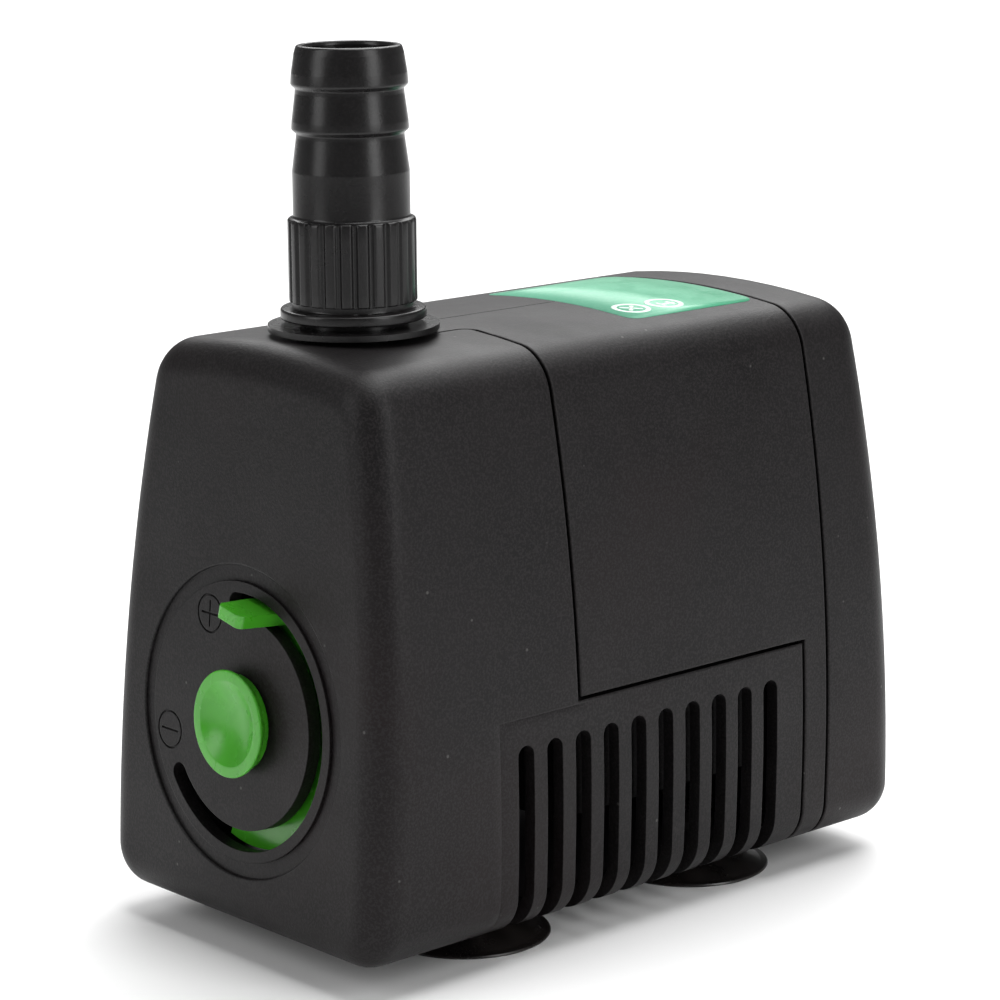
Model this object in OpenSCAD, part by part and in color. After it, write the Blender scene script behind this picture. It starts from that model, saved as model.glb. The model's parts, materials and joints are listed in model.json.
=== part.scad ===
// Fountain submersible pump: a magnet-drive pump in a rounded box housing,
// with an inlet grille, a flow regulator in the front and a threaded hose adapter on top.
// Millimetres. +Z is up, -Y is the front with the regulator, +X is the right-hand side.
// The origin is the middle of the footprint, on the surface that the suction cups stand on.

/* [Body] */
// Widest overall width, across the lower part of the side walls
body_w = 74.8; // [72:0.2:80]
// Top of the crowned roof above the resting surface
body_top_z = 104.8; // [103:0.2:108]
// Underside of the body above the resting surface
body_base_z = 4.9; // [4:0.1:6]
// Length from the front face to the rear face, at the regulator's height
body_l = 125; // [123:0.5:130]
// Thickness of the moulded plastic shells
wall = 2.5; // [2:0.1:3]
// Width of the joint line between two shells
joint_gap = 0.55; // [0.3:0.05:0.6]
// Backward lean of the front face, in degrees
front_lean = 4.2; // [0:0.1:6]
// Forward lean of the rear face, in degrees
rear_lean = 2.5; // [0:0.1:4]

/* [Grille] */
// Number of inlet slots on each side
slot_count = 10; // [4:1:10]
// Distance between neighbouring slots
slot_pitch = 6.55; // [5:0.05:6.6]
// Width of one slot
slot_w = 3.6; // [2:0.1:3.8]
// Height of the slots' round tops
slot_top_z = 38.6; // [30:0.1:40]

/* [Flow regulator] */
// Height of the regulator and of the rotor axis
axis_z = 41.2; // [40:0.2:43]
// Radius of the dial plate
dial_r = 24; // [23.5:0.1:24.5]
// Outer radius of the shallow ring groove around the dial plate
groove_r = 26.7; // [26:0.1:27.5]
// Radius of the green centre button
button_r = 9.2; // [8:0.1:10]
// Middle radius of the curved lever slot
lever_r = 20.3; // [20:0.1:20.5]
// Width of the curved lever slot
lever_slot_w = 3.6; // [3.2:0.1:4]

/* [Outlet] */
// Radius of the hose barb's straight stretch and of its ridges
barb_r = 9.9; // [9.6:0.05:10.4]
// Radius of the water way through the adapter
bore_r = 7.6; // [6:0.1:7.8]
// Outer radius of the threaded outlet spigot
spigot_r = 9.2; // [8.8:0.05:9.3]
// Top of the hose barb above the resting surface
barb_top_z = 153.2; // [150:0.2:160]

/* [Suction cups] */
// Radius of a suction cup's rim
cup_r = 14.8; // [12:0.1:15]
// Sideways distance of each cup from the centre plane
cup_x = 17.2; // [16:0.1:19]

/* [Hidden] */
$fn = 96;
eps = 0.01;

// Colours
black_plastic = [0.15, 0.15, 0.16];
green_plastic = [0.25, 0.62, 0.18];
rubber_black = [0.06, 0.06, 0.06];

// Cross-section of the body: two side arcs, a crown arc and rounded corners
side_arc_r = 331;
crown_arc_r = 180;
widest_z = 28;
top_corner_r = 9;
base_corner_r = 8;
side_centre = [body_w / 2 - side_arc_r, widest_z];
crown_centre = [0, body_top_z - crown_arc_r];

// Lengthwise places
front_y = -63;
rear_y = front_y + body_l;
hood_seam_y = -19.2;
grille_end_y = 36;
cap_seam_y = 42.2;
grille_seam_z = 44.4;
front_edge_r = 6;
rear_edge_r = 7;
outlet_y = -36.5;

// Motor and pump chamber
skirt_base_z = 22.4;
nose_y = -21.5;
can_end_y = 38.9;
can_inset = 4.2;
can_wall = 2.3;
well_r = 14.2;
well_wall = 2;
well_end_y = 26;
chamber_r = 26;
chamber_bore_r = 23.5;
chamber_front_y = -49;
chamber_back_y = -25.5;
seal_ring_mid_r = 20;
seal_ring_r = 1.25;
shaft_r = 1.5;
bush_clearance = 0.06;
magnet_r = 13.2;
magnet_y0 = -14;
magnet_y1 = 19;

// Stator: a U of laminations, with a winding on each leg
core_y0 = -6;
core_y1 = 20;
leg_in = 10;
leg_out = 19;
yoke_z0 = 85;
yoke_z1 = 94;
pole_out = 27;
pole_top_z = 58;
core_base_z = 25.4;
pole_r = well_r + well_wall + 0.3;
bobbin_wall = 1;
winding_t = 4;
coil_z0 = 60;
flange_t = 1.2;

// Outlet heights
disc_z = body_top_z + 0.5;
disc_t = 1;
disc_r = 14.6;
spigot_top_z = 120;
adapter_z = 107.3;
seal_t = 1.5;
seal_gap = 0.1;
thread_clearance = 0.15;
grip_z0 = 109.8;
grip_z1 = 124.2;
grip_r = 10.9;
rib_count = 24;
rib_depth = 0.6;
straight_z0 = 125.1;
straight_z1 = 132.2;

// Cable gland, in the middle of the rear face
gland_z = 30;
gland_r = 6.5;
gland_neck_r = 5;
cable_bore_r = 3.6;
gland_seat_y = rear_y + 1.4;
gland_boss_l = 4;
gland_tip_y = 68;

// Label, on the roof of the middle shell
label_w = 39;
label_y0 = 10.3;
label_y1 = 41.4;

// Suction cups, in the floor of the grille
cup_ys = [-27.8, 26.8];
stem_r = 3.2;

// Regulator angles, counter-clockwise from +X as seen from the front
slot_start = 101;
slot_end = -148;
lever_angle = 78.5;
leaf_end = -107;
plate_t = 2.5;
leaf_y = plate_t + 1.6;
leaf_t = 1.6;
pin_r = 2.4;
pin_l = 2;
groove_depth = 0.6;

function on_circle(c, r, a) = c + r * [cos(a), sin(a)];
function arc(c, r, a0, a1, n, skip = 0) = [for (i = [skip:n]) on_circle(c, r, a0 + (a1 - a0) * i / n)];
function heading(a, b) = atan2(b[1] - a[1], b[0] - a[0]);
// Crossing of two circles on the left of the line from a to b
function crossing(a, ra, b, rb) =
    let (d = norm(b - a), u = (b - a) / d, t = (ra * ra - rb * rb + d * d) / (2 * d))
    a + t * u + sqrt(ra * ra - t * t) * [-u[1], u[0]];

// Centres of the corner arcs, tangent to the arcs beside them
top_corner = crossing(side_centre, side_arc_r - top_corner_r, crown_centre, crown_arc_r - top_corner_r);
base_corner_z = body_base_z + base_corner_r;
base_corner = [side_centre[0] + sqrt(pow(side_arc_r - base_corner_r, 2) - pow(base_corner_z - widest_z, 2)),
    base_corner_z];

// Right half of the cross-section, from the floor to the roof's crown, moved in by inset
function half_outline(inset) =
    let (low = heading(side_centre, base_corner), high = heading(side_centre, top_corner),
        roof = heading(crown_centre, top_corner))
    concat(arc(base_corner, base_corner_r - inset, -90, low, 6),
        arc(side_centre, side_arc_r - inset, low, high, 8, 1),
        arc(top_corner, top_corner_r - inset, high, roof, 8, 1),
        arc(crown_centre, crown_arc_r - inset, roof, 90, 3, 1));

module outline(inset) {
    right = half_outline(inset);
    last = len(right) - 1;
    left = [for (i = [last - 1:-1:0]) [-right[i][0], right[i][1]]];
    polygon(concat(right, left));
}

// The cross-section carried along Y from y0 to y1
module slab(y0, y1, inset) {
    translate([0, y1, 0]) rotate([90, 0, 0]) linear_extrude(y1 - y0) outline(inset);
}

// Thin slices that round the edge of an end face: dir is 1 at the front and -1 at the rear
module rounded_end(y, dir, lean, edge_r, inset) {
    for (a = [0:22.5:90]) {
        depth = edge_r * (1 - cos(a));
        translate([0, y + dir * depth, axis_z]) rotate([-dir * lean, 0, 0]) translate([0, 0, -axis_z])
            slab(-eps, eps, inset + edge_r * (1 - sin(a)));
    }
}

module above(z) {
    translate([-50, -100, z]) cube([100, 200, 200]);
}

module below(z) {
    translate([-50, -100, z - 200]) cube([100, 200, 200]);
}

// Rounded box standing on z = 0
module rounded_plate(w, l, h, r) {
    linear_extrude(h) hull() for (x = [-1, 1], y = [-1, 1])
        translate([x * (w / 2 - r), y * (l / 2 - r)]) circle(r, $fn = 32);
}

// Cylinder along +Y from y0 to y1, on the rotor axis
module axle(r, y0, y1) {
    translate([0, y0, axis_z]) rotate([-90, 0, 0]) cylinder(r = r, h = y1 - y0);
}

// Moves children into the dial's own frame: front face at y = 0, +Y into the pump
module at_dial() {
    translate([0, front_y, axis_z]) rotate([-front_lean, 0, 0]) children();
}

// Cylinder along the dial's axis, in the dial's own frame
module dial_cylinder(r, y0, y1) {
    translate([0, y0, 0]) rotate([-90, 0, 0]) cylinder(r = r, h = y1 - y0);
}

// Part of a ring, in the dial's own frame, from angle a0 down to angle a1
module dial_arc(r0, r1, a0, a1, y0, y1) {
    translate([0, y0, 0]) rotate([-90, 0, 0]) rotate([0, 0, -a0])
        rotate_extrude(angle = a0 - a1) translate([r0, 0]) square([r1 - r0, y1 - y0]);
}

// Outline, seen from above, of the roof tongue that fills the hood's U-shaped notch
tongue_half_w = 9.6;
tongue_corner_r = 2.5;
module tongue_outline(gap) {
    half_w = tongue_half_w - gap;
    corner_r = tongue_corner_r + gap;
    translate([-half_w, outlet_y]) square([2 * half_w, hood_seam_y - outlet_y + 2]);
    for (s = [-1, 1]) translate([s * half_w, hood_seam_y + gap]) scale([s, 1]) difference() {
        translate([-eps, -corner_r]) square([corner_r, corner_r + 1]);
        translate([corner_r, -corner_r]) circle(corner_r);
    }
}

module inlet_slots() {
    first_y = -31.6;
    floor_x = 25;
    for (i = [0:slot_count - 1], s = [-1, 1]) {
        y = first_y + i * slot_pitch;
        translate([s > 0 ? floor_x : -floor_x - 20, y - slot_w / 2, 0])
            cube([20, slot_w, slot_top_z - slot_w / 2]);
        translate([s > 0 ? 30 : -50, y, slot_top_z - slot_w / 2]) rotate([0, 90, 0])
            cylinder(d = slot_w, h = 20);
    }
}

module front_cover() {
    color(black_plastic) difference() {
        union() {
            hull() {
                rounded_end(front_y, 1, front_lean, front_edge_r, 0);
                slab(hood_seam_y - 2 * eps, hood_seam_y, 0);
            }
            intersection() {
                slab(hood_seam_y - 1, grille_end_y, 0);
                below(grille_seam_z - joint_gap);
            }
        }
        hull() {
            rounded_end(front_y + wall, 1, front_lean, front_edge_r - wall, wall);
            slab(hood_seam_y - 2 * eps, hood_seam_y + 1, wall);
        }
        slab(hood_seam_y - 1, grille_end_y + 1, wall);
        at_dial() dial_cylinder(groove_r, -5, groove_depth);
        at_dial() dial_cylinder(dial_r - 1.1, -5, 8);
        translate([0, 0, 90]) linear_extrude(20) tongue_outline(0);
        translate([0, outlet_y, 90]) cylinder(r = tongue_half_w, h = 20);
        inlet_slots();
        for (x = [-cup_x, cup_x], y = cup_ys) translate([x, y, 0]) cylinder(r = stem_r, h = 12);
    }
}

// Plus or minus sign in a ring, engraved in the dial plate at a radius and angle
module dial_sign(r, angle, plus) {
    line = 0.35;
    depth = 0.3;
    translate([r * cos(angle), -1, r * sin(angle)]) rotate([-90, 0, 0]) linear_extrude(1 + depth) {
        difference() {
            circle(3.4);
            circle(3.4 - line);
        }
        square([4.6, line], center = true);
        if (plus) for (z = [-1, 1]) translate([-line / 2, z > 0 ? line / 2 - eps : -2.3])
            square([line, 2.3 - line / 2 + eps]);
    }
}

module dial_plate() {
    outer = lever_r + lever_slot_w / 2;
    inner = lever_r - lever_slot_w / 2;
    end_turn = asin(lever_slot_w / 2 / lever_r);
    color(black_plastic) at_dial() difference() {
        union() {
            dial_cylinder(dial_r, 0, groove_depth);
            dial_cylinder(dial_r - 1.2, groove_depth - eps, plate_t);
        }
        dial_cylinder(4, -1, 5);
        dial_arc(inner, outer, slot_start - end_turn, slot_end + end_turn, -1, 4);
        for (a = [slot_start - end_turn, slot_end + end_turn])
            translate([lever_r * cos(a), -1, lever_r * sin(a)]) rotate([-90, 0, 0])
                cylinder(d = lever_slot_w - 0.04, h = 5);
        dial_sign(19.4, 118, true);
        dial_sign(20, -165, false);
    }
}

// Green leaf, hub and lever of the regulator, moulded as one piece. The hub's hole takes the button's pin.
module flow_regulator() {
    tab_t = 2.2;
    tab_base = lever_r - 0.35 - tab_t / 2;
    tab_w = 7.4;
    tab_reach = 6.4;
    color(green_plastic) at_dial() difference() {
        union() {
            dial_arc(3, lever_r + 2, lever_angle + 12.5, leaf_end, leaf_y, leaf_y + leaf_t);
            dial_cylinder(6, leaf_y, leaf_y + leaf_t);
            dial_cylinder(3.95, -0.3, leaf_y + eps);
            rotate([0, 90 - lever_angle, 0]) translate([0, 0, tab_base]) linear_extrude(tab_t) hull() {
                translate([-tab_w / 2, leaf_y]) square([tab_w, leaf_t / 2]);
                for (s = [-1, 1]) translate([s * 2, 1.2 - tab_reach]) circle(1.2, $fn = 32);
            }
        }
        dial_cylinder(pin_r, -1, pin_l);
    }
}

// Dished button, with a pin that presses into the hub
module regulator_button() {
    reach = 2.8;
    dish_r = 7.3;
    dish_depth = 2.1;
    back_r = button_r - 0.9;
    dish_ball_r = (dish_r * dish_r + dish_depth * dish_depth) / (2 * dish_depth);
    color(green_plastic) at_dial() rotate([90, 0, 0]) rotate_extrude() difference() {
        union() {
            polygon([[0, 0.3], [back_r, 0.3], [back_r + 0.3, 0.6], [button_r, reach - 0.5],
                [button_r - 0.15, reach - 0.15], [button_r - 0.5, reach], [0, reach]]);
            translate([0, -pin_l]) square([pin_r, pin_l + 0.3 + eps]);
        }
        translate([0, reach - dish_depth + dish_ball_r]) circle(dish_ball_r);
        translate([-50, -50]) square([50, 100]);
    }
}

module motor_cavity() {
    intersection() {
        slab(hood_seam_y + joint_gap + wall, cap_seam_y + 1, wall);
        above(grille_seam_z + wall);
    }
    intersection() {
        slab(grille_end_y + joint_gap + wall, cap_seam_y + 1, wall);
        above(body_base_z + wall);
    }
}

// Outer middle shell, with the roof tongue that runs forward round the outlet
module motor_housing() {
    color(black_plastic) difference() {
        union() {
            difference() {
                union() {
                    intersection() {
                        slab(hood_seam_y + joint_gap, cap_seam_y, 0);
                        above(grille_seam_z);
                    }
                    slab(grille_end_y + joint_gap, cap_seam_y, 0);
                }
                motor_cavity();
            }
            intersection() {
                difference() {
                    slab(outlet_y, hood_seam_y + 2, 0);
                    slab(outlet_y - 1, hood_seam_y + 3, wall);
                }
                translate([0, 0, 90]) linear_extrude(20) tongue_outline(joint_gap);
            }
        }
        intersection() {
            slab(nose_y - 1, can_end_y, can_inset - 0.05);
            above(skirt_base_z - 0.05);
        }
        translate([0, outlet_y, 90]) cylinder(r = spigot_r + 0.3, h = 20);
        label_pocket(0.2, 2);
        translate([-0.2, outlet_y, body_top_z - 0.35]) cube([0.4, label_y0 - outlet_y, 1]);
    }
}

// Sealed inner can of the motor, with the tube that the rotor runs in
module motor_can() {
    color(black_plastic) difference() {
        union() {
            difference() {
                intersection() {
                    slab(nose_y, can_end_y, can_inset);
                    above(skirt_base_z);
                }
                can_space(can_end_y + 1);
            }
            axle(well_r + well_wall, nose_y, well_end_y + well_wall);
        }
        axle(well_r, nose_y - 1, well_end_y - 5);
        difference() {
            axle(well_r, well_end_y - 5 - eps, well_end_y);
            axle(5.6, well_end_y - 6, well_end_y + 1);
        }
        axle(3.6, well_end_y - 6, well_end_y);
    }
}

// Room inside the motor can, back to y_end
module can_space(y_end) {
    intersection() {
        slab(nose_y + can_wall, y_end, can_inset + can_wall);
        above(skirt_base_z + can_wall);
    }
}

// Space between two insets of the roof, under the label's outline
module label_pocket(inset, lift) {
    intersection() {
        difference() {
            slab(label_y0 - 1, label_y1 + 1, -lift);
            slab(label_y0 - 2, label_y1 + 2, inset);
        }
        translate([0, (label_y0 + label_y1) / 2, 95]) rounded_plate(label_w, label_y1 - label_y0, 20, 3);
    }
}

module rating_label() {
    color([0.5, 0.83, 0.68]) label_pocket(0.2, 0.1);
}

// Cylinder along +Y from y0 to y1, at the cable's place
module cable_post(r, y0, y1) {
    translate([0, y0, gland_z]) rotate([-90, 0, 0]) cylinder(r = r, h = y1 - y0);
}

module rear_cap() {
    y0 = cap_seam_y + joint_gap;
    lip_t = 1.5;
    color(black_plastic) difference() {
        union() {
            difference() {
                union() {
                    hull() {
                        slab(y0, y0 + eps, 0);
                        rounded_end(rear_y, -1, rear_lean, rear_edge_r, 0);
                    }
                    difference() {
                        slab(cap_seam_y - 3, y0 + 1, wall + 0.1);
                        slab(cap_seam_y - 4, y0 + 2, wall + 0.1 + lip_t);
                    }
                }
                hull() {
                    slab(y0 - eps, y0, wall + 0.1 + lip_t);
                    rounded_end(rear_y - wall, -1, rear_lean, rear_edge_r - wall, wall);
                }
            }
            cable_post(gland_r + 2.5, gland_seat_y - gland_boss_l, gland_seat_y);
        }
        cable_post(gland_neck_r, rear_y - 10, rear_y + 10);
    }
}

module cable_gland() {
    inner_seat_y = gland_seat_y - gland_boss_l;
    color(rubber_black) translate([0, 0, gland_z]) rotate([-90, 0, 0]) rotate_extrude()
        polygon([[cable_bore_r, inner_seat_y - 2], [gland_r, inner_seat_y - 2], [gland_r, inner_seat_y],
            [gland_neck_r, inner_seat_y], [gland_neck_r, gland_seat_y], [gland_r, gland_seat_y],
            [gland_r, gland_tip_y - 1.2], [gland_r - 1, gland_tip_y], [cable_bore_r, gland_tip_y]]);
}

module stator_core() {
    depth = core_y1 - core_y0;
    color([0.45, 0.46, 0.48]) difference() {
        union() {
            translate([-leg_out, core_y0, core_base_z]) cube([2 * leg_out, depth, yoke_z1 - core_base_z]);
            translate([-pole_out, core_y0, core_base_z])
                cube([2 * pole_out, depth, pole_top_z - core_base_z]);
        }
        translate([-leg_in, core_y0 - 1, core_base_z - 1])
            cube([2 * leg_in, depth + 2, yoke_z0 - core_base_z + 1]);
        axle(pole_r, core_y0 - 1, core_y1 + 1);
    }
}

// Block around the right-hand leg, grown sideways by grow
module around_leg(grow, z0, z1) {
    translate([leg_in - grow, core_y0 - grow, z0])
        cube([leg_out - leg_in + 2 * grow, core_y1 - core_y0 + 2 * grow, z1 - z0]);
}

module bobbin() {
    difference() {
        union() {
            around_leg(bobbin_wall, coil_z0, yoke_z0);
            around_leg(bobbin_wall + winding_t, coil_z0, coil_z0 + flange_t);
            around_leg(bobbin_wall + winding_t, yoke_z0 - flange_t, yoke_z0);
        }
        around_leg(0, coil_z0 - 1, yoke_z0 + 1);
    }
}

module winding() {
    difference() {
        around_leg(bobbin_wall + winding_t - 0.4, coil_z0 + flange_t, yoke_z0 - flange_t);
        around_leg(bobbin_wall, coil_z0, yoke_z0);
    }
}

module right_bobbin() {
    color([0.85, 0.83, 0.76]) bobbin();
}

module left_bobbin() {
    color([0.85, 0.83, 0.76]) mirror([1, 0, 0]) bobbin();
}

module right_winding() {
    color([0.72, 0.36, 0.16]) winding();
}

module left_winding() {
    color([0.72, 0.36, 0.16]) mirror([1, 0, 0]) winding();
}

// Cast resin that fills the motor can
module potting_compound() {
    color([0.1, 0.1, 0.11]) difference() {
        can_space(34);
        axle(pole_r, nose_y, well_end_y + well_wall + 0.3);
        stator_core();
        for (s = [0, 1]) mirror([s, 0, 0]) around_leg(bobbin_wall + winding_t, coil_z0, yoke_z0);
    }
}

module rotor_magnet() {
    color([0.22, 0.22, 0.24]) difference() {
        axle(magnet_r, magnet_y0, magnet_y1);
        axle(4.5, magnet_y0 - 1, magnet_y1 + 1);
    }
}

// Six-vane impeller with the long hub that carries the magnet
module impeller() {
    vane_y0 = -44.5;
    vane_y1 = -29;
    color([0.88, 0.88, 0.86]) difference() {
        union() {
            axle(4.5, vane_y0, magnet_y1);
            axle(6.5, vane_y0, magnet_y0);
            axle(13.2, vane_y1, vane_y1 + 1.5);
            axle(9, magnet_y0 - 1.5, magnet_y0);
            for (a = [0:60:300]) translate([0, 0, axis_z]) rotate([0, a, 0])
                translate([4, vane_y0, -0.9]) cube([15, vane_y1 - vane_y0, 1.8]);
        }
        axle(3.2, vane_y0 - 1, vane_y0 + 6);
        axle(3.2, magnet_y1 - 6, magnet_y1 + 1);
        axle(2.2, vane_y0, magnet_y1);
    }
}

module rotor_bush(y0) {
    color([0.93, 0.92, 0.88]) difference() {
        axle(3.2, y0, y0 + 6);
        axle(shaft_r + bush_clearance, y0 - 1, y0 + 7);
    }
}

module front_rotor_bush() {
    rotor_bush(-44.5);
}

module rear_rotor_bush() {
    rotor_bush(magnet_y1 - 6);
}

module shaft() {
    color([0.95, 0.95, 0.93]) axle(shaft_r, chamber_front_y - 1, well_end_y - 0.5);
}

module front_bearing() {
    color(rubber_black) difference() {
        axle(3.4, chamber_front_y - 1.5, chamber_front_y + 3);
        axle(shaft_r, chamber_front_y - 1, chamber_front_y + 4);
    }
}

module rear_bearing() {
    color(rubber_black) difference() {
        axle(3.6, well_end_y - 5, well_end_y);
        axle(shaft_r, well_end_y - 6, well_end_y - 0.5);
    }
}

module thrust_washer(y0) {
    color([0.95, 0.95, 0.93]) difference() {
        axle(3, y0, y0 + 0.8);
        axle(shaft_r, y0 - 1, y0 + 2);
    }
}

module front_thrust_washer() {
    thrust_washer(chamber_front_y + 3);
}

module rear_thrust_washer() {
    thrust_washer(well_end_y - 5.8);
}

module outlet_post(r, z0, z1) {
    translate([0, outlet_y, z0]) cylinder(r = r, h = z1 - z0);
}

// Pump chamber with the outlet spigot, its flange and the outer thread's plain envelope
module pump_chamber() {
    color(black_plastic) difference() {
        union() {
            axle(chamber_r, chamber_front_y, nose_y - 0.05);
            outlet_post(spigot_r, axis_z + 15, spigot_top_z);
            outlet_post(disc_r, disc_z, disc_z + disc_t);
        }
        axle(chamber_bore_r, chamber_front_y - 1, chamber_back_y);
        axle(well_r, chamber_back_y - 1, nose_y + 1);
        outlet_post(bore_r - 0.4, axis_z + 10, spigot_top_z + 1);
        translate([0, nose_y - 2 * seal_ring_r - 0.1, axis_z]) rotate([-90, 0, 0]) rotate_extrude()
            translate([seal_ring_mid_r - seal_ring_r - 0.05, 0])
                square([2 * seal_ring_r + 0.1, 2 * seal_ring_r + 1]);
    }
}

// Cover plate with curved suction ports and the front bearing's boss. Its inlet cup reaches
// forward to the regulator's leaf, which turns over the half-moon window in the cup's face.
module chamber_cover() {
    y0 = chamber_front_y - 2;
    face_y = leaf_y + leaf_t + 0.5;
    face_t = 1.5;
    cup_l = 14;
    snout_r = 19;
    color(black_plastic) difference() {
        union() {
            axle(chamber_r, y0, chamber_front_y - 0.05);
            axle(chamber_bore_r - 0.15, chamber_front_y - 0.1, chamber_front_y + 2);
            axle(5.4, y0, chamber_front_y + 3);
            at_dial() dial_cylinder(snout_r, face_y, cup_l);
        }
        at_dial() dial_cylinder(snout_r - 1.8, face_y + face_t, cup_l - 2);
        at_dial() dial_arc(5, 15, 255, 95, face_y - 1, face_y + face_t + 1);
        for (a = [30:120:270]) translate([0, y0 - 2, axis_z]) rotate([-90, 0, 0]) rotate([0, 0, a])
            rotate_extrude(angle = 95) translate([6.6, 0]) square([6, 8]);
        axle(3.4, chamber_front_y - 1.5, chamber_front_y + 4);
    }
}

module chamber_seal() {
    color(rubber_black) translate([0, nose_y - seal_ring_r - 0.05, axis_z]) rotate([-90, 0, 0])
        rotate_extrude() translate([seal_ring_mid_r, 0]) circle(seal_ring_r);
}

module outlet_seal() {
    color(rubber_black) difference() {
        outlet_post(spigot_r - 0.1, spigot_top_z + seal_gap, spigot_top_z + seal_t - seal_gap);
        outlet_post(bore_r, spigot_top_z - 1, spigot_top_z + seal_t + 1);
    }
}

// Barbed hose adapter: threaded collar with a ribbed grip, and a three-step barb above it
module hose_adapter() {
    collar_r = 12.4;
    thread_r = spigot_r + thread_clearance;
    shoulder_z = spigot_top_z + seal_t;
    rib_w = 1.9;
    color(black_plastic) difference() {
        translate([0, outlet_y, 0]) union() {
            rotate_extrude() polygon([[bore_r, shoulder_z], [thread_r, shoulder_z], [thread_r, adapter_z],
                [collar_r - 0.2, adapter_z], [collar_r, adapter_z + 0.2], [collar_r, adapter_z + 1.5],
                [collar_r - 0.3, adapter_z + 1.8], [grip_r - rib_depth, adapter_z + 1.8],
                [grip_r - rib_depth, grip_z1 - 0.3], [barb_r, straight_z0], [barb_r, straight_z1],
                [barb_r - 0.75, straight_z1 + 6], [barb_r - 0.75, straight_z1 + 6.4],
                [barb_r, straight_z1 + 7], [barb_r - 0.7, straight_z1 + 13.3],
                [barb_r - 0.7, straight_z1 + 13.7], [barb_r, straight_z1 + 14.5],
                [barb_r - 0.55, barb_top_z - 2],
                [barb_r - 0.9, barb_top_z - 0.4], [barb_r - 1.2, barb_top_z], [bore_r, barb_top_z]]);
            for (i = [0:rib_count - 1]) rotate([0, 0, i * 360 / rib_count])
                translate([grip_r - 1.4, -rib_w / 2, grip_z0]) cube([1.4, rib_w, grip_z1 - grip_z0]);
        }
    }
}

// Suction cup: a thin flared disc under a stem that snaps into the grille's floor
module suction_cup(x, y) {
    floor_z = body_base_z + wall;
    color(rubber_black) translate([x, y, 0]) rotate_extrude() polygon([[0, 1.6], [8, 1.2], [12, 0.55],
        [cup_r - 1.2, 0], [cup_r, 0], [cup_r, 0.5], [11, 1.9], [7, 3.2], [5, body_base_z], [stem_r, body_base_z],
        [stem_r, floor_z], [4.6, floor_z], [4.2, floor_z + 1.6], [2.4, floor_z + 3], [0, floor_z + 3]]);
}

module front_left_cup() {
    suction_cup(-cup_x, cup_ys[0]);
}

module front_right_cup() {
    suction_cup(cup_x, cup_ys[0]);
}

module rear_left_cup() {
    suction_cup(-cup_x, cup_ys[1]);
}

module rear_right_cup() {
    suction_cup(cup_x, cup_ys[1]);
}

front_cover();
dial_plate();
flow_regulator();
regulator_button();
motor_housing();
motor_can();
rear_cap();
cable_gland();
rating_label();
stator_core();
left_bobbin();
right_bobbin();
left_winding();
right_winding();
potting_compound();
rotor_magnet();
impeller();
front_rotor_bush();
rear_rotor_bush();
shaft();
front_bearing();
rear_bearing();
front_thrust_washer();
rear_thrust_washer();
pump_chamber();
chamber_cover();
chamber_seal();
outlet_seal();
hose_adapter();
front_left_cup();
front_right_cup();
rear_left_cup();
rear_right_cup();
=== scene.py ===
import json
import math

import bmesh
import bpy
from mathutils import Matrix, Vector


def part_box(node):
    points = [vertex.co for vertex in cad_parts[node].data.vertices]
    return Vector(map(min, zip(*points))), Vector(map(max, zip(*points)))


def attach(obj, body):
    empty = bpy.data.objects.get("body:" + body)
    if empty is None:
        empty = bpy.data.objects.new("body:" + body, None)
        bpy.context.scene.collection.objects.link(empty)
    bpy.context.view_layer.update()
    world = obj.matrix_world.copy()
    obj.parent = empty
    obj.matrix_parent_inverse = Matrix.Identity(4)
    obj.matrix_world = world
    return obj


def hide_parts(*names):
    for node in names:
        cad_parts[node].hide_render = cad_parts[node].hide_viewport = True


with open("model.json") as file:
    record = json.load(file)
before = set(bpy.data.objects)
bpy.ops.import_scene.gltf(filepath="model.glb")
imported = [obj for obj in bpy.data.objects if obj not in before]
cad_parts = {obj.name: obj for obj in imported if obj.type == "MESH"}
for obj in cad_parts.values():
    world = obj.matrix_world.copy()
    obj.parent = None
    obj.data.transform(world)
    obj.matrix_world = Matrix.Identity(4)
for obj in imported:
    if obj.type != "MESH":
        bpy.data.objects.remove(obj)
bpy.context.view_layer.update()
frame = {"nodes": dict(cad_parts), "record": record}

# Lengths are written in millimetres and turned into metres when a mesh is made.
MM = 0.001


def box_mm(node):
    low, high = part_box(node)
    return [v / MM for v in low], [v / MM for v in high]


# ---------------------------------------------------------------- driving sizes
COVER_LOW, COVER_HIGH = box_mm("front_cover")
MID_END_Y = box_mm("motor_housing")[1][1]
HALF_W = COVER_HIGH[0]
TOP_Z = COVER_HIGH[2]
BASE_Z = COVER_LOW[2]
SIDE_R = 331.0
CROWN_R = 180.0
WIDEST_Z = 28.0
TOP_CORNER_R = 9.0
BASE_CORNER_R = 8.0
WALL = 2.5
AXIS_Z = 41.2
FRONT_Y = -63.0
REAR_Y = 62.0
FRONT_LEAN = math.radians(4.2)
REAR_LEAN = math.radians(2.5)
FRONT_EDGE_R = 6.0
REAR_EDGE_R = 7.0
HOOD_END_Y = -19.2
PANEL_FRONT_Y = -37.3
PANEL_TOP_Z = 43.3
GRILLE_END_Y = COVER_HIGH[1]
GAP = 0.55
MID_BASE_Z = 44.4
GRILLE_TOP_Z = MID_BASE_Z - GAP
MID_START_Y = HOOD_END_Y + GAP
STRIP_START_Y = GRILLE_END_Y + GAP
OUTLET_Y = -36.5
SEAM_R = 0.35
SLOT_COUNT = 10
SLOT_FIRST_Y = -31.6
SLOT_PITCH = 6.55
SLOT_W = 3.6
SLOT_TOP_Z = 38.6
SLOT_FLOOR_X = 25.0
SLOT_REACH_X = 46.0
TONGUE_HALF_W = 9.6
TONGUE_CORNER_R = 2.5
CUP_R = 14.8
CUP_XS = (-17.2, 17.2)
CUP_YS = (-27.8, 26.8)
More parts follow.
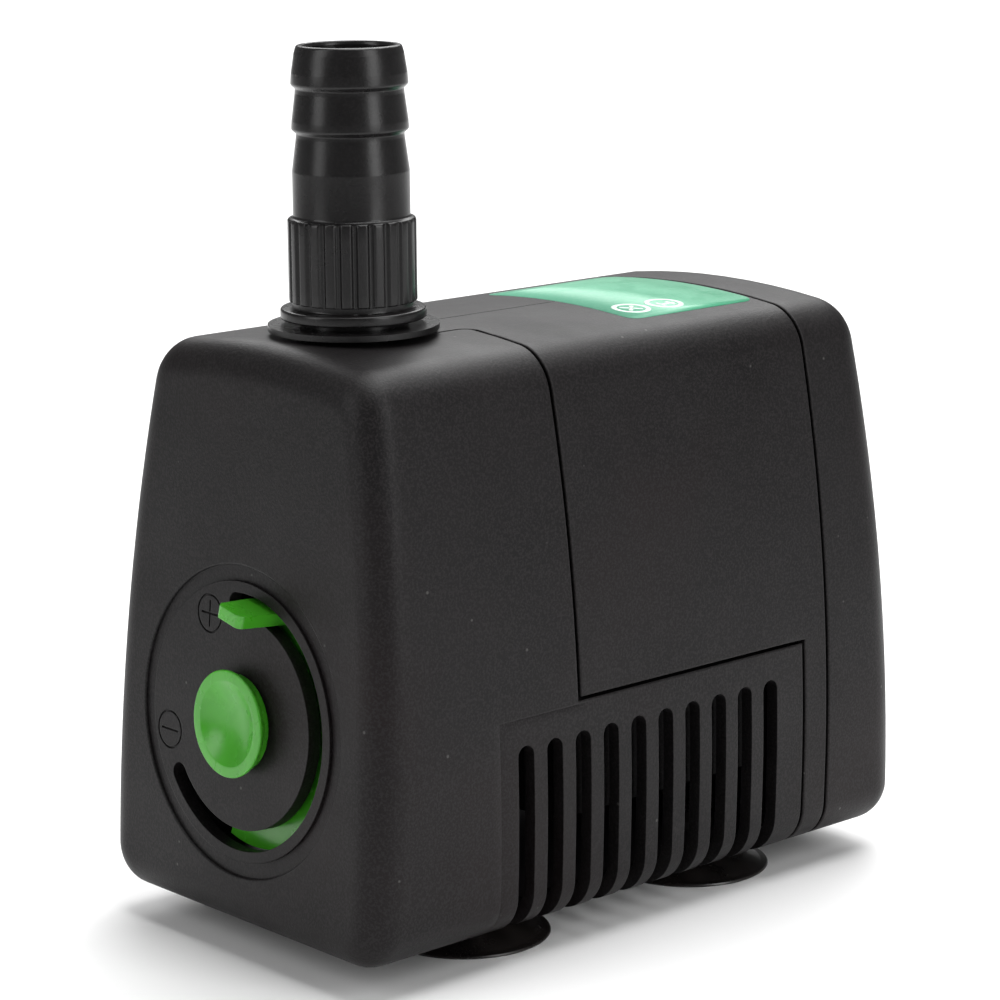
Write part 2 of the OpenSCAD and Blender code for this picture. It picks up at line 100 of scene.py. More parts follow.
STEM_R = 3.2
DIAL_HOLE_R = 22.9
GROOVE_R = 26.7
GROOVE_DEPTH = 0.6
# Heights between which a cutter passes right through the roof
ROOF_CUT_Z0 = 88
ROOF_CUT_Z1 = 112
LABEL_HALF_W = 19.5
LABEL_Y0 = 10.3
LABEL_Y1 = 41.4
SIGN_X = 13.2
SIGN_YS = (16.2, 24.3)


# ---------------------------------------------------------------- materials
class Nodes:
    """A small builder for one material's node tree."""

    def __init__(self, name):
        self.material = bpy.data.materials.new(name)
        self.material.use_nodes = True
        self.tree = self.material.node_tree
        self.shader = self.tree.nodes["Principled BSDF"]
        self.coords = self.tree.nodes.new("ShaderNodeTexCoord").outputs["Object"]

    def link(self, source, target):
        self.tree.links.new(source, target)

    def noise(self, scale, detail=4.0, roughness=0.55, coords=None, distortion=0.0):
        node = self.tree.nodes.new("ShaderNodeTexNoise")
        node.inputs["Scale"].default_value = scale
        node.inputs["Detail"].default_value = detail
        node.inputs["Roughness"].default_value = roughness
        node.inputs["Distortion"].default_value = distortion
        self.link(coords or self.coords, node.inputs["Vector"])
        return node.outputs["Fac"]

    def stretched(self, scale):
        node = self.tree.nodes.new("ShaderNodeMapping")
        node.inputs["Scale"].default_value = scale
        self.link(self.coords, node.inputs["Vector"])
        return node.outputs["Vector"]

    def ramp(self, value, stops):
        node = self.tree.nodes.new("ShaderNodeValToRGB")
        elements = node.color_ramp.elements
        while len(elements) < len(stops):
            elements.new(0.5)
        for element, (place, colour) in zip(elements, stops):
            element.position = place
            element.color = (*colour, 1.0)
        self.link(value, node.inputs["Fac"])
        return node.outputs["Color"]

    def spread(self, value, low, high, from_low=0.3, from_high=0.7):
        node = self.tree.nodes.new("ShaderNodeMapRange")
        node.inputs["From Min"].default_value = from_low
        node.inputs["From Max"].default_value = from_high
        node.inputs["To Min"].default_value = low
        node.inputs["To Max"].default_value = high
        self.link(value, node.inputs["Value"])
        return node.outputs["Result"]

    def mix(self, factor, a, b):
        node = self.tree.nodes.new("ShaderNodeMix")
        node.data_type = "RGBA"
        self.link(factor, node.inputs["Factor"])
        for value, socket in ((a, node.inputs[6]), (b, node.inputs[7])):
            if isinstance(value, tuple):
                socket.default_value = (*value, 1.0)
            else:
                self.link(value, socket)
        return node.outputs[2]

    def bump(self, height, strength, distance_mm, below=None):
        node = self.tree.nodes.new("ShaderNodeBump")
        node.inputs["Strength"].default_value = strength
        node.inputs["Distance"].default_value = distance_mm * MM
        self.link(height, node.inputs["Height"])
        if below:
            self.link(below, node.inputs["Normal"])
        return node.outputs["Normal"]

    def soft_edges(self, radius_mm):
        node = self.tree.nodes.new("ShaderNodeBevel")
        node.samples = 6
        node.inputs["Radius"].default_value = radius_mm * MM
        return node.outputs["Normal"]

    def specks(self, per_metre, size):
        """White dots, each about size of its cell, on a cell pattern."""
        node = self.tree.nodes.new("ShaderNodeTexVoronoi")
        node.inputs["Scale"].default_value = per_metre
        self.link(self.coords, node.inputs["Vector"])
        return self.spread(node.outputs["Distance"], 1.0, 0.0, size * 0.6, size)


def moulded_plastic(name, dark, light, rough, grain, edge_mm, specular):
    """Moulded black plastic with a fine grain, uneven sheen, faint scuffs and dust."""
    m = Nodes(name)
    tone = m.ramp(m.noise(38, 5), [(0.35, dark), (0.68, light)])
    warm = tuple(c * k for c, k in zip(light, (1.25, 0.85, 0.85)))
    tone = m.mix(m.spread(m.noise(17, 3, 0.5), 0, 0.8, 0.5, 0.66), tone, warm)
    pebbles = m.noise(2300, 2, 0.6)
    tone = m.mix(m.spread(pebbles, 0, 0.5 + grain, 0.46, 0.6), tone, tuple(c * 1.9 for c in light))
    scuff_lines = m.spread(m.noise(420, 2, coords=m.stretched((0.12, 1, 3.0))), 0, 1, 0.69, 0.74)
    scuff_area = m.spread(m.noise(24, 2), 0, 0.35, 0.56, 0.66)
    join = m.tree.nodes.new("ShaderNodeMath")
    join.operation = "MULTIPLY"
    m.link(scuff_lines, join.inputs[0])
    m.link(scuff_area, join.inputs[1])
    scuffed = m.mix(join.outputs[0], tone, tuple(c * 2.6 for c in light))
    dusty = m.mix(m.specks(150, 0.05), scuffed, (0.06, 0.058, 0.056))
    m.link(dusty, m.shader.inputs["Base Color"])
    m.link(m.spread(m.noise(55, 4), rough - 0.05, rough + 0.06), m.shader.inputs["Roughness"])
    m.shader.inputs["Specular IOR Level"].default_value = specular
    fine = m.bump(pebbles, grain, 0.09, m.soft_edges(edge_mm) if edge_mm else None)
    broad = m.bump(m.noise(60, 2), 0.12, 0.12, fine)
    m.link(broad, m.shader.inputs["Normal"])
    return m.material


def green_plastic():
    m = Nodes("green_plastic")
    tone = m.ramp(m.noise(60, 4), [(0.3, (0.043, 0.29, 0.012)), (0.72, (0.062, 0.38, 0.018))])
    m.link(tone, m.shader.inputs["Base Color"])
    m.link(m.spread(m.noise(140, 4), 0.22, 0.33), m.shader.inputs["Roughness"])
    m.shader.inputs["Subsurface Weight"].default_value = 0.12
    m.shader.inputs["Subsurface Radius"].default_value = (0.0006, 0.0016, 0.0004)
    edge = m.soft_edges(0.25)
    m.link(m.bump(m.noise(900, 3), 0.08, 0.03, edge), m.shader.inputs["Normal"])
    return m.material


def rubber():
    m = Nodes("black_rubber")
    tone = m.ramp(m.noise(90, 5), [(0.3, (0.006, 0.0055, 0.0055)), (0.75, (0.016, 0.013, 0.012))])
    m.link(m.mix(m.specks(420, 0.06), tone, (0.12, 0.11, 0.10)), m.shader.inputs["Base Color"])
    m.link(m.spread(m.noise(120, 4), 0.22, 0.38), m.shader.inputs["Roughness"])
    m.link(m.bump(m.noise(700, 3), 0.12, 0.04, m.soft_edges(0.15)), m.shader.inputs["Normal"])
    return m.material


def label_film():
    """Mint film with painted sheen: painted paler towards its front edge and deeper green towards the rear.
    """
    m = Nodes("label_film")
    split = m.tree.nodes.new("ShaderNodeSeparateXYZ")
    m.link(m.coords, split.inputs["Vector"])
    # Painted sheen: the film's colour ramps from pale at the front edge to deeper green at the rear.
    along = m.spread(split.outputs["Y"], 0.0, 1.0, LABEL_Y0 * MM, LABEL_Y1 * MM)
    painted_sheen_film_tone = m.ramp(along, [(0.0, (0.14, 0.46, 0.30)), (0.45, (0.06, 0.36, 0.20)),
                          (1.0, (0.035, 0.31, 0.155))])
    printed = m.mix(m.spread(m.noise(1500, 2), 0.0, 0.10), painted_sheen_film_tone, (0.55, 0.85, 0.70))
    m.link(printed, m.shader.inputs["Base Color"])
    m.link(m.spread(m.noise(200, 3), 0.30, 0.42), m.shader.inputs["Roughness"])
    m.link(m.bump(m.noise(500, 3), 0.06, 0.03), m.shader.inputs["Normal"])
    return m.material


def plain(name, low, high, rough, metallic=0.0, scale=80.0, stretch=None, bump=0.1, edge_mm=0.15):
    """Simple finish: colour and sheen that vary a little, with a fine surface bump."""
    m = Nodes(name)
    coords = m.stretched(stretch) if stretch else m.coords
    m.link(m.ramp(m.noise(scale, 4, coords=coords), [(0.3, low), (0.72, high)]),
           m.shader.inputs["Base Color"])
    m.link(m.spread(m.noise(scale * 1.7, 3, coords=coords), rough - 0.06, rough + 0.08),
           m.shader.inputs["Roughness"])
    m.shader.inputs["Metallic"].default_value = metallic
    height = m.noise(scale * 8, 3, coords=coords)
    edges = m.soft_edges(edge_mm) if edge_mm else None
    m.link(m.bump(height, bump, 0.05, edges), m.shader.inputs["Normal"])
    return m.material


# ---------------------------------------------------------------- mesh helpers
def new_object(name, bm, material, smooth_deg=35):
    bmesh.ops.recalc_face_normals(bm, faces=bm.faces)
    mesh = bpy.data.meshes.new(name)
    bm.to_mesh(mesh)
    bm.free()
    obj = bpy.data.objects.new(name, mesh)
    bpy.context.scene.collection.objects.link(obj)
    if material:
        mesh.materials.append(material)
    for face in mesh.polygons:
        face.use_smooth = True
    mesh.set_sharp_from_angle(angle=math.radians(smooth_deg))
    return obj


def select_only(obj):
    bpy.ops.object.select_all(action="DESELECT")
    obj.select_set(True)
    bpy.context.view_layer.objects.active = obj


def apply_modifier(obj, kind, **settings):
    modifier = obj.modifiers.new(kind.title(), kind)
    for key, value in settings.items():
        setattr(modifier, key, value)
    select_only(obj)
    bpy.ops.object.modifier_apply(modifier=modifier.name)
    return obj


def cut(obj, cutter, smooth_deg=18):
    """Cuts cutter out of obj and removes it."""
    apply_modifier(obj, "BOOLEAN", operation="DIFFERENCE", solver="EXACT", object=cutter)
    bpy.data.objects.remove(cutter, do_unlink=True)
    obj.data.set_sharp_from_angle(angle=math.radians(smooth_deg))
    return obj


def lathe(name, profile, material, steps=96, matrix=None, closed=True, wobble=None):
    """Turns a profile of (radius, height) points round Z; wobble(angle, r, z) changes the radius."""
    bm = bmesh.new()
    rings = []
    for r, z in profile:
        if r < 1e-6:
            rings.append([bm.verts.new((0, 0, z * MM))])
            continue
        ring = []
        for i in range(steps):
            a = 2 * math.pi * i / steps
            radius = wobble(a, r, z) if wobble else r
            ring.append(bm.verts.new((radius * math.cos(a) * MM, radius * math.sin(a) * MM, z * MM)))
        rings.append(ring)
    pairs = list(zip(rings, rings[1:]))
    if closed and len(rings[0]) > 1:
        pairs.append((rings[-1], rings[0]))
    for low, high in pairs:
        for i in range(steps):
            j = (i + 1) % steps
            if len(low) > 1 and len(high) > 1:
                bm.faces.new((low[i], low[j], high[j], high[i]))
            elif len(high) > 1:
                bm.faces.new((low[0], high[j], high[i]))
            elif len(low) > 1:
                bm.faces.new((low[i], low[j], high[0]))
    if matrix:
        bmesh.ops.transform(bm, matrix=matrix, verts=bm.verts)
    return new_object(name, bm, material)


def rounded(points, radii, steps=5, closed=True):
    """A polyline's points with each corner turned into an arc of the given radius."""
    out = []
    count = len(points)
    for i, point in enumerate(points):
        radius = radii[i] if isinstance(radii, (list, tuple)) else radii
        if radius <= 0 or (not closed and i in (0, count - 1)):
            out.append(tuple(point))
            continue
        here = Vector(point)
        back = Vector(points[i - 1]) - here
        ahead = Vector(points[(i + 1) % count]) - here
        half = back.angle(ahead) / 2
        reach = min(radius / math.tan(half), back.length * 0.49, ahead.length * 0.49)
        start = here + back.normalized() * reach
        end = here + ahead.normalized() * reach
        for k in range(steps + 1):
            t = k / steps
            p = start.lerp(here, t).lerp(here.lerp(end, t), t)
            out.append((p.x, p.y))
    return out


def prism(name, outline, low, high, matrix=None, material=None):
    """A 2D outline in X and Y carried along Z from low to high."""
    bm = bmesh.new()
    bottom = [bm.verts.new((x * MM, y * MM, low * MM)) for x, y in outline]
    top = [bm.verts.new((x * MM, y * MM, high * MM)) for x, y in outline]
    bm.faces.new(bottom)
    bm.faces.new(list(reversed(top)))
    for i in range(len(outline)):
        j = (i + 1) % len(outline)
        bm.faces.new((bottom[i], bottom[j], top[j], top[i]))
    if matrix:
        bmesh.ops.transform(bm, matrix=matrix, verts=bm.verts)
    return new_object(name, bm, material)


def join_objects(objects, name):
    select_only(objects[0])
    for obj in objects:
        obj.select_set(True)
    bpy.ops.object.join()
    objects[0].name = name
    return objects[0]


def own(obj, body, nodes):
    """Puts a piece on its body, in place of its CAD nodes."""
    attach(obj, body)
    if nodes:
        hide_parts(*nodes)
    return obj


# ---------------------------------------------------------------- the body's section
def crossing(a, ra, b, rb):
    """Crossing of two circles on the left of the line from a to b."""
    d = (b - a).length
    u = (b - a) / d
    t = (ra * ra - rb * rb + d * d) / (2 * d)
    return a + t * u + math.sqrt(ra * ra - t * t) * Vector((-u.y, u.x))


SIDE_C = Vector((HALF_W - SIDE_R, WIDEST_Z))
CROWN_C = Vector((0, TOP_Z - CROWN_R))
TOP_CORNER = crossing(SIDE_C, SIDE_R - TOP_CORNER_R, CROWN_C, CROWN_R - TOP_CORNER_R)
BASE_CORNER = Vector((
    SIDE_C.x + math.sqrt((SIDE_R - BASE_CORNER_R) ** 2 - (BASE_Z + BASE_CORNER_R - WIDEST_Z) ** 2),
    BASE_Z + BASE_CORNER_R))


def heading(a, b):
    return math.atan2(b.y - a.y, b.x - a.x)


def side_angle(z):
    return math.asin((z - WIDEST_Z) / SIDE_R)


def section(marks_z=(), marks_x=(), side_step=4.0):
    """Closed outline as (point, normal) pairs, going up the right side from the floor's middle.
    It has a point at every height in marks_z on the walls, and at every marks_x on the roof."""
    low, high = heading(SIDE_C, BASE_CORNER), heading(SIDE_C, TOP_CORNER)
    roof = heading(CROWN_C, TOP_CORNER)
    half = []
    down = Vector((0, -1))
    half += [(Vector((x, BASE_Z)), down) for x in (0, 4, 8, 12, 16, 20, 24, 27)]

    def ray(centre, radius, angle):
        normal = Vector((math.cos(angle), math.sin(angle)))
        half.append((centre + radius * normal, normal))

    corner_steps = 14
    for i in range(corner_steps):
        ray(BASE_CORNER, BASE_CORNER_R, -math.pi / 2 + (low + math.pi / 2) * i / corner_steps)
    z0 = SIDE_C.y + SIDE_R * math.sin(low)
    z1 = SIDE_C.y + SIDE_R * math.sin(high)
    marks = sorted(set(z for z in marks_z if z0 < z < z1))
    count = int((z1 - z0) / side_step)
    plain_z = [z0 + (z1 - z0) * i / count for i in range(count + 1)]
    kept = [z for z in plain_z if all(abs(z - m) > 0.6 for m in marks)]
    for z in sorted(kept + marks):
        ray(SIDE_C, SIDE_R, side_angle(z))
    for i in range(1, corner_steps):
        ray(TOP_CORNER, TOP_CORNER_R, high + (roof - high) * i / corner_steps)
    x1 = CROWN_C.x + CROWN_R * math.cos(roof)
    even_xs = [x1, x1 * 0.75, x1 * 0.5, x1 * 0.25]
    roof_xs = set(even_xs + [x for x in marks_x if x < x1])
    for x in sorted(roof_xs, reverse=True) + [0]:
        ray(CROWN_C, CROWN_R, math.acos(x / CROWN_R))
    left = [(Vector((-p.x, p.y)), Vector((-n.x, n.y))) for p, n in reversed(half[1:-1])]
    return half + left


def lean_y(z, amount):
    return (z - AXIS_Z) * math.tan(amount)


def surface_point(point, normal, y, lean, inset):
    p = point - normal * inset
    return Vector((p.x, y + lean_y(p.y, lean), p.y))


def drop(d, radius=SEAM_R):
    """How far a rounded seam edge falls below the surface at distance d from the seam."""
    if d >= radius:
        return 0.0
    return radius - math.sqrt(radius * radius - (radius - max(d, 0.0)) ** 2)


SEAM_STEPS = (0.0, 0.05, 0.14, 0.35)


def near(value, side):
    """Row or mark places that make a rounded edge on one side of a seam."""
    return [value + side * step for step in SEAM_STEPS]


def skin(name, rows, outline, keep, fall, front_cap, rear_cap, material):
    """Lofts the body's surface through rows of (y, lean, inset). keep(x, y, z) picks the faces,
    fall(x, y, z) is how far a point drops below the surface."""
    bm = bmesh.new()
    grid = []
    for y, lean, inset in rows:
        line = []
        for point, normal in outline:
            p = surface_point(point, normal, y, lean, inset)
            dip = fall(p.x, p.y, p.z) if inset == 0 else 0.0
            if dip:
                p = surface_point(point, normal, y, lean, inset + dip)
            line.append(bm.verts.new(p * MM))
        grid.append(line)
    count = len(outline)
    for low, high in zip(grid, grid[1:]):
        for i in range(count):
            j = (i + 1) % count
            corners = (low[i], low[j], high[j], high[i])
            middle = sum((v.co for v in corners), Vector()) / 4 / MM
            if keep(middle.x, middle.y, middle.z):
                bm.faces.new(corners)
    if front_cap:
        bm.faces.new(grid[0])
    if rear_cap:
        bm.faces.new(grid[-1])
    loose = [v for v in bm.verts if not v.link_faces]
    bmesh.ops.delete(bm, geom=loose, context="VERTS")
    return new_object(name, bm, material)


def end_rows(y, direction, lean, edge_r):
    """Rows from the flat end face round its edge, from the face outward."""
    rows = [(y, lean, edge_r + 0.8)]
    steps = 10
    for i in range(steps + 1):
        a = math.pi / 2 * i / steps
        rows.append((y + direction * edge_r * (1 - math.cos(a)), lean, edge_r * (1 - math.sin(a))))
    return rows


def spaced(y0, y1, step):
    count = max(1, round(abs(y1 - y0) / step))
    return [y0 + (y1 - y0) * i / count for i in range(1, count)]


def straight_rows(places):
    return [(y, 0.0, 0.0) for y in sorted(set(round(p, 4) for p in places))]


def standing_at(x, y):
    """Moves a piece that is made round the Z axis to its place in plan."""
    return Matrix.Translation((x * MM, y * MM, 0))


def dial_matrix():
    """From a frame with Z out of the dial's face to the row frame."""
    lean = Matrix.Rotation(-FRONT_LEAN, 4, "X")
    face_out = Matrix.Rotation(math.pi / 2, 4, "X")
    return Matrix.Translation((0, FRONT_Y * MM, AXIS_Z * MM)) @ lean @ face_out


# ---------------------------------------------------------------- shells
def slot_cutter():
    """All inlet slots: upright bars with round tops that reach past the wall and through the floor."""
    bars = []
    half = SLOT_W / 2
    straight_top = SLOT_TOP_Z - half
    arc_steps = 10
    angles = [math.pi * k / arc_steps for k in range(arc_steps + 1)]
    round_top = [(half * math.cos(a), straight_top + half * math.sin(a)) for a in angles]
    outline = [(-half, 0.0), (half, 0.0)] + round_top
    for i in range(SLOT_COUNT):
        y = SLOT_FIRST_Y + i * SLOT_PITCH
        for side in (1, -1):
            # outline X runs along the body, outline Y runs up, the prism runs sideways
            turn = Matrix(((0, 0, side, 0), (1, 0, 0, y * MM), (0, 1, 0, 0), (0, 0, 0, 1)))
            bars.append(prism("slot_bar", outline, SLOT_FLOOR_X, SLOT_REACH_X, turn))
    return join_objects(bars, "slot_cutter")


def tongue_cutter(gap, spread):
    """Prism over the roof: the tongue's outline when spread is 0, else the ground on both sides of it."""
    half = TONGUE_HALF_W - gap
    corner = TONGUE_CORNER_R + gap
    y1 = HOOD_END_Y + gap
    fillet = [(half + corner - corner * math.cos(a), y1 - corner + corner * math.sin(a))
              for a in [math.pi / 2 * k / 8 for k in range(9)]]
    if spread:
        right = [(half, OUTLET_Y - 4)] + fillet + [(spread, y1), (spread, OUTLET_Y - 4)]
        left = [(-x, y) for x, y in reversed(right)]
        sides = [prism("tongue_side", outline, ROOF_CUT_Z0, ROOF_CUT_Z1) for outline in (right, left)]
        return join_objects(sides, "tongue_sides")
    right = [(half, OUTLET_Y)] + fillet + [(half + corner, y1 + 3)]
    outline = right + [(-x, y) for x, y in reversed(right)]
    return prism("tongue_hole", outline, ROOF_CUT_Z0, ROOF_CUT_Z1)


def roof_drill(name, radius):
    """Cutter for a round hole in the roof, at the outlet."""
    profile = [(0, ROOF_CUT_Z0), (radius, ROOF_CUT_Z0), (radius, ROOF_CUT_Z1), (0, ROOF_CUT_Z1)]
    return lathe(name, profile, None, 64, standing_at(0, OUTLET_Y), closed=False)


def front_cover(material):
    marks_z = near(GRILLE_TOP_Z, -1) + [PANEL_TOP_Z + d for d in (-0.25, 0, 0.25)]
    rows = end_rows(FRONT_Y, 1, FRONT_LEAN, FRONT_EDGE_R)
    y_round = FRONT_Y + FRONT_EDGE_R
    blend_steps = 4
    for i in range(1, blend_steps):
        t = i / blend_steps
        rows.append((y_round + (PANEL_FRONT_Y - 2 - y_round) * t, FRONT_LEAN * (1 - t), 0.0))
    places = [PANEL_FRONT_Y + d for d in (-2, -0.25, 0, 0.25)]
    places += near(HOOD_END_Y, -1) + near(GRILLE_END_Y, -1)
    places += spaced(PANEL_FRONT_Y, HOOD_END_Y, 4) + spaced(HOOD_END_Y, GRILLE_END_Y, 4)
    rows += straight_rows(places)

    def keep(x, y, z):
        return y < HOOD_END_Y or z < GRILLE_TOP_Z

    def fall(x, y, z):
        dip = drop(GRILLE_END_Y - y)
        if z > GRILLE_TOP_Z - 0.001:
            dip = max(dip, drop(HOOD_END_Y - y))
        if y > HOOD_END_Y + 0.001:
            dip = max(dip, drop(GRILLE_TOP_Z - z))
        on_front_line = abs(y - PANEL_FRONT_Y) < 0.1 and z < PANEL_TOP_Z + 0.1
        on_top_line = abs(z - PANEL_TOP_Z) < 0.1 and PANEL_FRONT_Y - 0.1 < y < HOOD_END_Y
        return max(dip, 0.08 if on_front_line or on_top_line else 0.0)

    obj = skin("front_cover_shell", rows, section(marks_z), keep, fall, True, False, material)
    apply_modifier(obj, "SOLIDIFY", thickness=WALL * MM, offset=-1, use_even_offset=True)
    cut(obj, slot_cutter())
    lip_r = GROOVE_R + 0.3
    recess = [(0, 2), (lip_r, 2), (lip_r, 0.0), (GROOVE_R + 0.1, -0.1), (GROOVE_R, -0.3),
              (GROOVE_R, -GROOVE_DEPTH), (DIAL_HOLE_R, -GROOVE_DEPTH), (DIAL_HOLE_R, -6), (0, -6)]
    cut(obj, lathe("dial_recess", recess, None, 160, dial_matrix(), closed=False))
    cut(obj, tongue_cutter(0.0, 0))
    cut(obj, roof_drill("outlet_hole", TONGUE_HALF_W))
    hole = [(0, 0), (STEM_R, 0), (STEM_R, 12), (0, 12)]
    for x in CUP_XS:
        for y in CUP_YS:
            cut(obj, lathe("stem_hole", hole, None, 32, standing_at(x, y), closed=False))
    return own(obj, "housing", ["front_cover"])


def motor_housing(material):
    marks_z = near(MID_BASE_Z, 1)
    tongue_x = TONGUE_HALF_W + 6
    places = near(MID_START_Y, 1) + near(STRIP_START_Y, 1) + near(MID_END_Y, -1)
    places += [OUTLET_Y + 1, -30, -24]
    places += spaced(MID_START_Y, STRIP_START_Y, 4) + spaced(STRIP_START_Y, MID_END_Y, 3)

    def keep(x, y, z):
        if y < MID_START_Y:
            return abs(x) < tongue_x and z > 95
        return z > MID_BASE_Z or y > STRIP_START_Y

    def fall(x, y, z):
        dip = drop(MID_END_Y - y)
        if abs(x) > tongue_x - 1 or z < 90:
            dip = max(dip, drop(y - MID_START_Y) if y >= MID_START_Y - 0.001 else 0.0)
        if y < STRIP_START_Y - 0.001 and z < 90:
            dip = max(dip, drop(z - MID_BASE_Z))
        if z < MID_BASE_Z + 0.001:
            dip = max(dip, drop(y - STRIP_START_Y))
        # the lengthwise parting groove from the outlet to the label
        if abs(x) < 0.05 and z > 90 and y < LABEL_Y0:
            dip = max(dip, 0.22)
        return dip

    outline = section(marks_z, (tongue_x, 0.22, 0.3))
    obj = skin("motor_housing_shell", straight_rows(places), outline, keep, fall, False, False, material)
    apply_modifier(obj, "SOLIDIFY", thickness=WALL * MM, offset=-1, use_even_offset=True)
    cut(obj, tongue_cutter(GAP, tongue_x + 3))
    spigot_clearance_r = 9.5
    cut(obj, roof_drill("outlet_hole", spigot_clearance_r))
    return own(obj, "housing", ["motor_housing"])


def rear_cap(material):
    start = MID_END_Y + GAP
    rows = straight_rows(near(start, 1) + spaced(start, REAR_Y - REAR_EDGE_R - 6, 4))
    y_round = REAR_Y - REAR_EDGE_R
    rows.append((y_round - 2, -REAR_LEAN * 0.8, 0.0))
    rows += list(reversed(end_rows(REAR_Y, -1, -REAR_LEAN, REAR_EDGE_R)))

    def fall(x, y, z):
        return drop(y - start)

    obj = skin("rear_cap_shell", rows, section(), lambda x, y, z: True, fall, False, True, material)
    apply_modifier(obj, "SOLIDIFY", thickness=WALL * MM, offset=-1, use_even_offset=True)
    gland_low, gland_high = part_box("cable_gland")
    gland_z = (gland_low[2] + gland_high[2]) / 2
    along_y = Matrix.Translation((0, 0, gland_z)) @ Matrix.Rotation(-math.pi / 2, 4, "X")
    boss_r, boss_y0, boss_y1, gland_neck_r = 9, 59.4, 63.4, 5
    hole_r = boss_r - 0.1
    hole = [(0, 50), (hole_r, 50), (hole_r, 70), (0, 70)]
    cut(obj, lathe("gland_hole", hole, None, 64, along_y, closed=False))
    corners = [(gland_neck_r, boss_y0), (boss_r, boss_y0), (boss_r, boss_y1), (gland_neck_r, boss_y1)]
    boss = rounded(corners, [0, 0, 0.5, 0.3])
    own(lathe("gland_boss", boss, material, 72, along_y), "housing", [])
    return own(obj, "housing", ["rear_cap"])


# ---------------------------------------------------------------- outlet
def hose_adapter(material):
    low, high = box_mm("hose_adapter")
    z0, z1 = low[2], high[2]
    barb, bore, thread = 9.9, 7.6, 9.35
    straight = 132.2
    grip_z0, grip_z1, grip_r, rib_depth, ribs = 109.8, 124.2, 10.9, 0.6, 24
    shoulder_z = 121.5
    points = [
        (bore, shoulder_z, 0), (thread, shoulder_z, 0), (thread, z0 + 0.5, 0), (thread + 0.4, z0, 0.2),
        (12.4, z0, 0.35), (12.4, z0 + 1.8, 0.5), (grip_r - rib_depth, z0 + 1.9, 0.3),
        (grip_r - rib_depth, grip_z0 + 0.4, 0), (grip_r, grip_z0 + 0.4, 0.3), (grip_r, grip_z1, 0.7),
        (barb, grip_z1 + 0.35, 0.5), (barb, straight, 2.5), (barb - 0.75, straight + 5.6, 0.6),
        (barb - 0.8, straight + 6.3, 0.3), (barb, straight + 7.0, 0.6), (barb - 0.1, straight + 8.4, 1.0),
        (barb - 0.7, straight + 13.0, 0.6), (barb - 0.75, straight + 13.8, 0.3), (barb, straight + 14.5, 0.6),
        (barb - 0.15, straight + 16.4, 1.2), (barb - 0.65, z1 - 1.4, 1.2), (barb - 1.05, z1, 0.7),
        (bore + 0.3, z1, 0.35), (bore, z1 - 0.6, 0.3)]
    corners = rounded([(r, z) for r, z, _ in points], [c for _, _, c in points], 4)
    profile = []
    for a, b in zip(corners, corners[1:] + corners[:1]):
        profile.append(a)
        inside_grip = min(a[1], b[1]) > grip_z0 and max(a[1], b[1]) < grip_z1 and a[0] > grip_r - 0.01
        if inside_grip and abs(a[1] - b[1]) > 3:
            profile += [(a[0], a[1] + (b[1] - a[1]) * k / 6) for k in range(1, 6)]

    def flutes(angle, r, z):
        if r <= grip_r - rib_depth or not grip_z0 <= z <= grip_z1 + 0.01 or r > grip_r + 0.01:
            return r
        wave = math.cos(ribs * angle)
        ridge = 1 / (1 + math.exp(-6 * (wave + 0.55)))
        return grip_r - rib_depth + (r - (grip_r - rib_depth)) * ridge

    obj = lathe("hose_adapter_body", profile, material, 480, standing_at(0, OUTLET_Y), wobble=flutes)
    return own(obj, "adapter", ["hose_adapter"])


# ---------------------------------------------------------------- regulator
def regulator_button(material):
    """Round button with a bowl in its face, and the pin that holds it in the regulator's hub."""
    reach, dish_r, dish_depth = 2.8, 7.3, 2.1
    pin_r, pin_l = 2.4, 2.0
    ball_r = (dish_r ** 2 + dish_depth ** 2) / (2 * dish_depth)
    points = [(0, -pin_l), (pin_r, -pin_l), (pin_r, 0.3), (8.3, 0.3), (8.6, 1.4), (9.2, 2.4), (9.15, reach),
              (dish_r, reach)]
    radii = [0, 0.2, 0, 0.2, 0.5, 0.3, 0.35, 0.3]
    dish = [(r, reach - dish_depth + ball_r - math.sqrt(ball_r ** 2 - r ** 2))
            for r in [dish_r * 0.9 * (1 - k / 9) for k in range(10)]]
    profile = rounded(points + dish[:1], radii + [0], 5, closed=False) + dish[1:]
    obj = lathe("regulator_button_cap", profile, material, 96, dial_matrix(), closed=False)
    return own(obj, "regulator", ["regulator_button"])


# ---------------------------------------------------------------- feet and label
def suction_cup(node, material):
    low, high = box_mm(node)
    x, y = (low[0] + high[0]) / 2, (low[1] + high[1]) / 2
    # radius, height and corner radius, from under the cup round its rim and up the stem
    points = [
        (0, 1.6, 0), (8, 1.2, 4), (12, 0.55, 3), (13.6, 0.05, 0.5), (CUP_R - 0.2, 0, 0.15),
        (CUP_R, 0.25, 0.1), (CUP_R - 0.2, 0.55, 0.15), (13.4, 0.75, 0.4), (11, 1.75, 4), (7, 3.2, 2),
        (5.2, 4.3, 0.5), (5, 4.85, 0.2), (STEM_R, 4.85, 0), (STEM_R, 7.4, 0), (4.6, 7.4, 0.2),
        (4.2, 9, 1), (2.4, 10.35, 0.8), (0, 10.4, 0)]
    profile = rounded([(r, z) for r, z, _ in points], [c for _, _, c in points], 6, closed=False)
    obj = lathe(node + "_rubber", profile, material, 96, standing_at(x, y), closed=False)
    return own(obj, "housing", [node])


def roof_z(x):
    return CROWN_C.y + math.sqrt(CROWN_R ** 2 - x * x)


